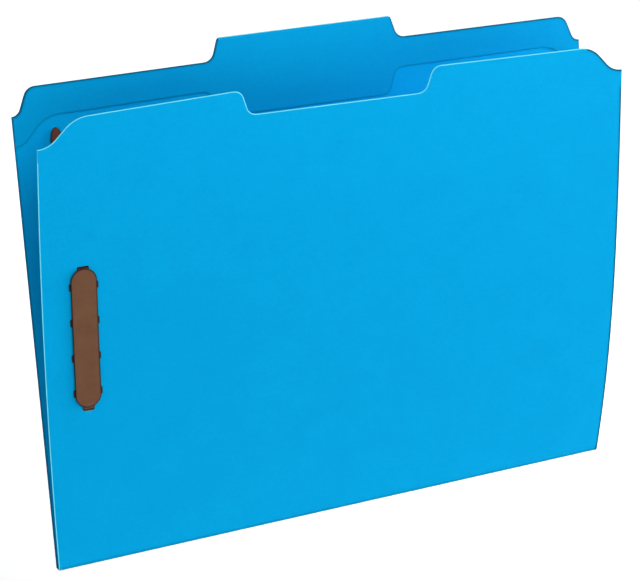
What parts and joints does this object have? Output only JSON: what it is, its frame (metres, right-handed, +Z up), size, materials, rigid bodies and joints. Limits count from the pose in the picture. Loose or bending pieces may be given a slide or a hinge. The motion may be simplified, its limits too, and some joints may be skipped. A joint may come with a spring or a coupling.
{
  "type": "fastener folder",
  "caption": "Card file folder standing on its fold, slightly open, with a centre tab, cut corners and a two-prong fastener on each leaf.",
  "frame": {"origin": "under the middle of the fold, on the underside of the fold strip, where the folder stands", "axes": "+X along the fold, away from the fasteners; +Y from the front leaf to the back leaf, square to the back leaf; +Z up the back leaf to the tab"},
  "size_m": [0.2984, 0.0417, 0.2413],
  "materials": {
    "card": "bright cyan-blue coloured card, matt with a faint fibre mottle",
    "brown_fibre": "mid-brown coated fibre board, satin",
    "brown_steel": "thin spring steel with a dark brown baked coating"
  },
  "bodies": {
    "back": {"back_leaf": "card", "tab_ply": "card", "back_fastener_base": "brown_steel", "back_cover_patch": "brown_fibre", "back_compressor_bar": "brown_steel"},
    "fold": {"fold_strip": "card"},
    "front": {"front_leaf": "card", "front_fastener_base": "brown_steel", "front_cover_patch": "brown_fibre", "front_compressor_bar": "brown_steel"},
    "back_upper_prong": {"back_upper_prong": "brown_steel"},
    "back_upper_slide": {"back_upper_slide": "brown_steel"},
    "back_lower_prong": {"back_lower_prong": "brown_steel"},
    "back_lower_slide": {"back_lower_slide": "brown_steel"},
    "front_upper_prong": {"front_upper_prong": "brown_steel"},
    "front_upper_slide": {"front_upper_slide": "brown_steel"},
    "front_lower_prong": {"front_lower_prong": "brown_steel"},
    "front_lower_slide": {"front_lower_slide": "brown_steel"}
  },
  "joints": [
    {"name": "fold_at_back", "type": "hinge", "parent": "back", "child": "fold", "pos_m": [0, 0.002, 0.0002], "axis": [1, 0, 0], "range_deg": [-1.75, 85]},
    {"name": "fold_at_front", "type": "hinge", "parent": "fold", "child": "front", "pos_m": [0, -0.002, 0.0002], "axis": [1, 0, 0], "range_deg": [-1.75, 85]},
    {"name": "back_upper_prong_bend", "type": "hinge", "parent": "back", "child": "back_upper_prong", "pos_m": [-0.12943, 0.0005, 0.1493], "axis": [1, 0, 0], "range_deg": [0, 25]},
    {"name": "back_upper_slide_travel", "type": "slide", "parent": "back", "child": "back_upper_slide", "axis": [0, 0, -1], "range_m": [-0.014, 0]},
    {"name": "back_lower_prong_bend", "type": "hinge", "parent": "back", "child": "back_lower_prong", "pos_m": [-0.12943, 0.0005, 0.0793], "axis": [-1, 0, 0], "range_deg": [0, 2]},
    {"name": "back_lower_slide_travel", "type": "slide", "parent": "back", "child": "back_lower_slide", "axis": [0, 0, 1], "range_m": [-0.014, 0]},
    {"name": "front_upper_prong_bend", "type": "hinge", "parent": "front", "child": "front_upper_prong", "pos_m": [-0.12943, -0.01801, 0.14836], "axis": [-0.9991, 0.041, 0.0071], "range_deg": [0, 25]},
    {"name": "front_upper_slide_travel", "type": "slide", "parent": "front", "child": "front_upper_slide", "axis": [0, 0.1796, -0.9837], "range_m": [-0.014, 0]},
    {"name": "front_lower_prong_bend", "type": "hinge", "parent": "front", "child": "front_lower_prong", "pos_m": [-0.12943, -0.00741, 0.07909], "axis": [0.999, -0.0435, -0.0068], "range_deg": [0, 2]},
    {"name": "front_lower_slide_travel", "type": "slide", "parent": "front", "child": "front_lower_slide", "axis": [0, -0.1232, 0.9924], "range_m": [-0.014, 0]}
  ],
  "couplings": [
    {"joint": "fold_at_front", "follows": "fold_at_back", "ratio": 1}
  ]
}
